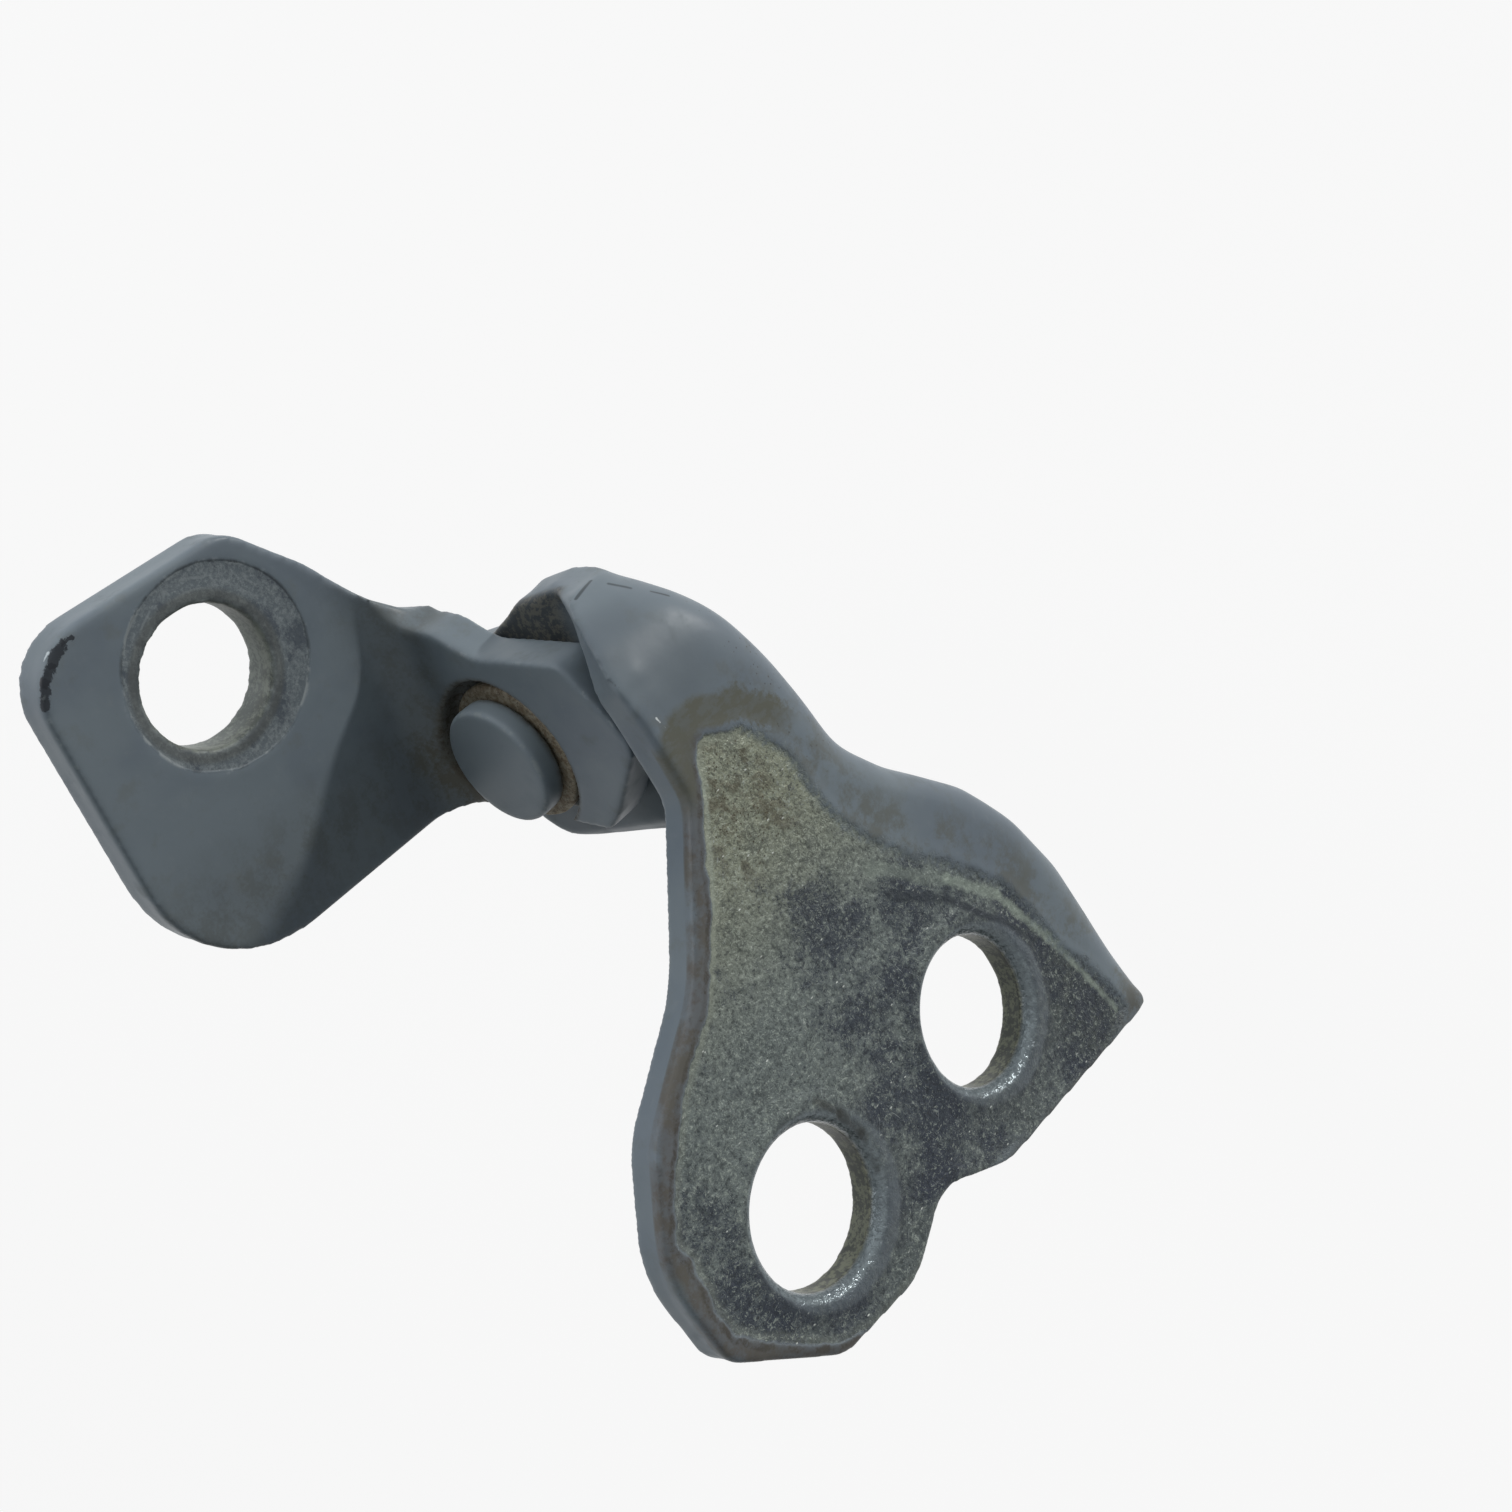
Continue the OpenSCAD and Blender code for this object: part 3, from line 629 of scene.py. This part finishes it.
def door_finish():
    s = Shader("door_leaf_finish")
    colour, roughness, height = paint_layers(s)
    # the leaf's own directions: out of its plate, up from the pin and along the pin
    from_x, from_y = s.x - PIN_X, s.y - PIN_Y
    cos, sin = math.cos(-OPEN_TURN), math.sin(-OPEN_TURN)
    out = from_x * cos - from_y * sin
    up = from_x * sin + from_y * cos
    along = s.z - EAR_Z
    centre = reach(from_x, from_y)
    seat = reach(up - DOOR_SEAT[0], along - DOOR_SEAT[1])
    hole = reach(up - DOOR_HOLE[0], along - DOOR_HOLE[1])
    front = out.rise(-13.6, -12.4)
    grain = s.noise(2.2, 3, 0.7, 17) - 0.5
    smear = s.noise(0.3, 5, 0.66, 29, (1, 0.7, 1.3)) - 0.5
    # the bare ring, its rim and the hole's wall
    border = seat + (s.noise(0.3, 3, 0.5, 5) - 0.5) * 0.4
    ring = border.rise(10.1, 9.85) * front
    colour = s.mix(colour, seat_metal(s, seat, hole, front, grain, smear), ring * 0.9)
    rim = border.band(9.8, 9.95, 10.05, 10.3) * front
    colour = s.mix(colour, srgb(60, 65, 67), rim * (0.15 + smear.rise(0.0, 0.1) * 0.35))
    colour = s.mix(colour, srgb(168, 174, 175), rim * smear.rise(-0.03, -0.12) * 0.5)
    wall = hole.rise(7.6, 7.1) * out.rise(-11.3, -11.7)
    wall_colour = s.mix(srgb(120, 124, 112), srgb(84, 87, 78), (smear + grain).rise(-0.08, 0.1))
    colour = s.mix(colour, wall_colour, wall * 0.7)
    # black chips, one painted glint (a painted highlight) among them, and pale wear on the edges
    ragged = s.noise(0.9, 6, 0.75, 43) - 0.5
    for a, b, half in DOOR_CHIPS:
        chip = s.stroke(a, b) + ragged * 1.6
        colour = s.mix(colour, srgb(30, 34, 40), chip.rise(half * 1.15, half * 0.85) * 0.9)
    painted_glint = s.stroke((-27.77, 79.23, 33.2), (-27.9, 79.0, 33.9)) + ragged * 0.5
    colour = s.mix(colour, srgb(214, 222, 226), painted_glint.rise(0.18, 0.1) * 0.8)
    worn = s.attribute("edge").rise(0.5, 0.1) * (s.noise(0.9, 4, 0.65, 59) - 0.5).rise(0.06, 0.16)
    colour = s.mix(colour, srgb(160, 167, 168), worn * 0.3)
    # brownish darkening in the bend, and brown dirt with painted shade beside the pin
    bend = out.rise(-12.2, -10.0) * out.rise(-4, -7.5) * along.rise(9, 4)
    beside_pin_dirt_and_shade = centre.rise(15, 10) * (from_x * -0.75 - from_y * 0.33).rise(0, 8) * along.rise(-1.5, -0.5)
    cloudy = (smear + grain * 0.4).rise(-0.1, 0.14)
    colour = s.mix(colour, srgb(82, 82, 74), (bend * 0.5 + beside_pin_dirt_and_shade * 0.6) * (0.4 + cloudy * 0.6))
    # greasy rust with painted shade in the recess under the pin's head
    recess_rust_and_shade = centre.rise(9.8, 9.1) * along.rise(-3.0, -2.0)
    rust = (s.noise(1.2, 5, 0.7, 67) - 0.5).rise(-0.08, 0.12)
    colour = s.mix(colour, s.mix(srgb(104, 98, 84), srgb(70, 62, 50), rust), recess_rust_and_shade * (0.45 + rust * 0.4))
    roughness = roughness + ring * 0.08 + recess_rust_and_shade * 0.25
    painted = 1.0 - ring
    height = height * 0.5 * painted + (grain + smear * 0.5) * ring * 0.5 + painted * 0.4
    return s.finish(colour, roughness, ring * 0.15, height, 0.1, specular=SHEEN)


def pin_finish():
    s = Shader("hinge_pin_finish")
    colour, roughness, height = paint_layers(s)
    along = s.z - EAR_Z
    # the same paint made paler on the pin: painted light, so its head looks as lit as the ear beside it
    colour = s.mix(colour, srgb(140, 150, 157), 0.6)
    worn = s.attribute("edge").rise(0.5, 0.15) * along.rise(0, 1) * s.noise(0.7, 4, 0.6, 5).rise(0.48, 0.62)
    colour = s.mix(colour, srgb(150, 158, 160), worn * 0.6)
    # brownish and darker under the head, and a paler tail
    below = along.rise(0.4, -0.8)
    colour = s.mix(colour, srgb(84, 80, 70), below * (0.4 + s.noise(0.9, 4, 0.6, 9).rise(0.4, 0.6) * 0.4))
    colour = s.mix(colour, srgb(112, 118, 118), along.rise(-8, -10) * 0.5)
    return s.finish(colour, roughness, 0.0, height * 0.5, 0.08, specular=SHEEN)


def bush_finish():
    s = Shader("door_bush_finish")
    speck = s.noise(1.3, 5, 0.72, 3)
    colour = s.mix(srgb(142, 136, 120), srgb(108, 96, 78), speck.rise(0.4, 0.6))
    colour = s.mix(colour, srgb(74, 64, 52), s.noise(2.4, 4, 0.7, 13).rise(0.54, 0.66) * 0.8)
    colour = s.mix(colour, srgb(168, 168, 158), s.cells(1.6, 5).rise(0.16, 0.06) * 0.6)
    return s.finish(colour, 0.62 + speck * 0.2, 0.25, speck, 0.12)


def washer_finish():
    s = Shader("thrust_washer_finish")
    grain = s.noise(1.1, 4, 0.65, 7)
    colour = s.mix(srgb(136, 124, 100), srgb(104, 92, 74), grain.rise(0.38, 0.64))
    colour = s.mix(colour, srgb(72, 62, 50), s.noise(0.6, 5, 0.7, 19).rise(0.55, 0.66) * 0.7)
    turned = (reach(s.x - PIN_X, s.y - PIN_Y) * 14.0).sine()
    return s.finish(colour, 0.42 + grain * 0.2, 0.6, grain * 0.6 + turned * 0.1, 0.05)


for name, piece, finish in (
        ("pillar_leaf", pillar, pillar_finish()), ("door_leaf", door, door_finish()),
        ("hinge_pin", pin, pin_finish()), ("door_bush", bush, bush_finish()),
        ("thrust_washer", thrust, washer_finish())):
    piece.data.materials.append(finish)
    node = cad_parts[name]
    node.data.materials.clear()
    node.data.materials.append(finish)


# Stage, light and camera

BACK = 0.94
AMBIENT = 0.13
# How much of the floor's real shading, and so of the shadow on it, the camera sees
SHADOW_SHARE = 0.05
FLOOR_GLOW = 0.97
# The floor's half width in metres, and how far it lies below the part in mm
FLOOR_HALF, FLOOR_GAP = 2, 4


def background_ray(nodes):
    """1 for what the camera sees, straight on, in a reflection or through glass."""
    rays = nodes.outputs("ShaderNodeLightPath")
    return rays["Is Camera Ray"].most(rays["Is Glossy Ray"]).most(rays["Is Transmission Ray"])


def pale_material():
    """A floor that glows evenly to the camera, but for its share of real shading."""
    material = bpy.data.materials.new("pale_floor")
    material.use_nodes = True
    nodes = Nodes(material.node_tree)
    plain = nodes.node("ShaderNodeBsdfDiffuse", (0.8, 0.8, 0.8))
    glow = nodes.node("ShaderNodeEmission", (FLOOR_GLOW,) * 3)
    both = nodes.node("ShaderNodeMixShader", background_ray(nodes) * (1 - SHADOW_SHARE), plain, glow)
    nodes.node("ShaderNodeOutputMaterial", both)
    return material


floor_z = cad_low.z - FLOOR_GAP * MM
corners = [(x * FLOOR_HALF, y * FLOOR_HALF, floor_z) for x, y in ((-1, -1), (1, -1), (1, 1), (-1, 1))]
floor_mesh = bpy.data.meshes.new("floor")
floor_mesh.from_pydata(corners, [], [(0, 1, 2, 3)])
floor = bpy.data.objects.new("floor", floor_mesh)
floor.data.materials.append(pale_material())
floor.visible_shadow = False
bpy.context.scene.collection.objects.link(floor)

world = bpy.data.worlds.new("world")
bpy.context.scene.world = world
world.use_nodes = True
air = Nodes(world.node_tree)
soft = air.node("ShaderNodeBackground", (0.88, 0.98, 1.0), AMBIENT)
seen = air.node("ShaderNodeBackground", (BACK,) * 3)
air.node("ShaderNodeOutputWorld", air.node("ShaderNodeMixShader", background_ray(air), soft, seen))

# The camera's axes and place in the row frame, fitted to outlines and edges in the photo
RIGHT = Vector((0.63916, -0.49050, -0.59236))
UP = Vector((0.11190, 0.82134, -0.55936))
BACKWARD = Vector((0.76089, 0.29123, 0.57985))
CAMERA_PLACE = Vector((128.33, 86.77, 91.43)) * MM
# What the lamps shine on
CENTRE = Vector((-22, 20.7, -4)) * MM
LAMP_DISTANCE = 0.6
SUN_FROM = Vector((0.575, 0.33, -0.75))


def area_light(name, direction, size, power, colour):
    data = bpy.data.lights.new(name, "AREA")
    data.size = size
    data.energy = power
    data.color = colour
    lamp = bpy.data.objects.new(name, data)
    direction = direction.normalized()
    lamp.location = CENTRE + direction * LAMP_DISTANCE
    lamp.rotation_mode = "QUATERNION"
    lamp.rotation_quaternion = direction.to_track_quat("Z", "Y")
    bpy.context.scene.collection.objects.link(lamp)


sun_data = bpy.data.lights.new("sun", "SUN")
sun_data.energy = 1.7
sun_data.angle = math.radians(4)
sun_data.color = (1.0, 0.985, 0.96)
sun = bpy.data.objects.new("sun", sun_data)
sun.rotation_mode = "QUATERNION"
sun.rotation_quaternion = SUN_FROM.to_track_quat("Z", "Y")
bpy.context.scene.collection.objects.link(sun)
area_light("sky", UP * 0.9 + BACKWARD * 0.4 - RIGHT * 0.05, 0.9, 3.1, (0.92, 0.97, 1.0))
area_light("fill", RIGHT * -0.85 + UP * 0.2 + BACKWARD * 0.4, 0.4, 1.3, (0.98, 0.98, 1.0))

camera_data = bpy.data.cameras.new("camera")
camera_data.lens = 42.34
camera_data.sensor_width = 36
camera_data.clip_start = 0.005
camera_data.clip_end = 20
camera = bpy.data.objects.new("camera", camera_data)
turn = Matrix((RIGHT, UP, BACKWARD)).transposed()
camera.matrix_world = Matrix.Translation(CAMERA_PLACE) @ turn.to_4x4()
bpy.context.scene.collection.objects.link(camera)
bpy.context.scene.camera = camera
bpy.context.scene.view_settings.view_transform = "Standard"
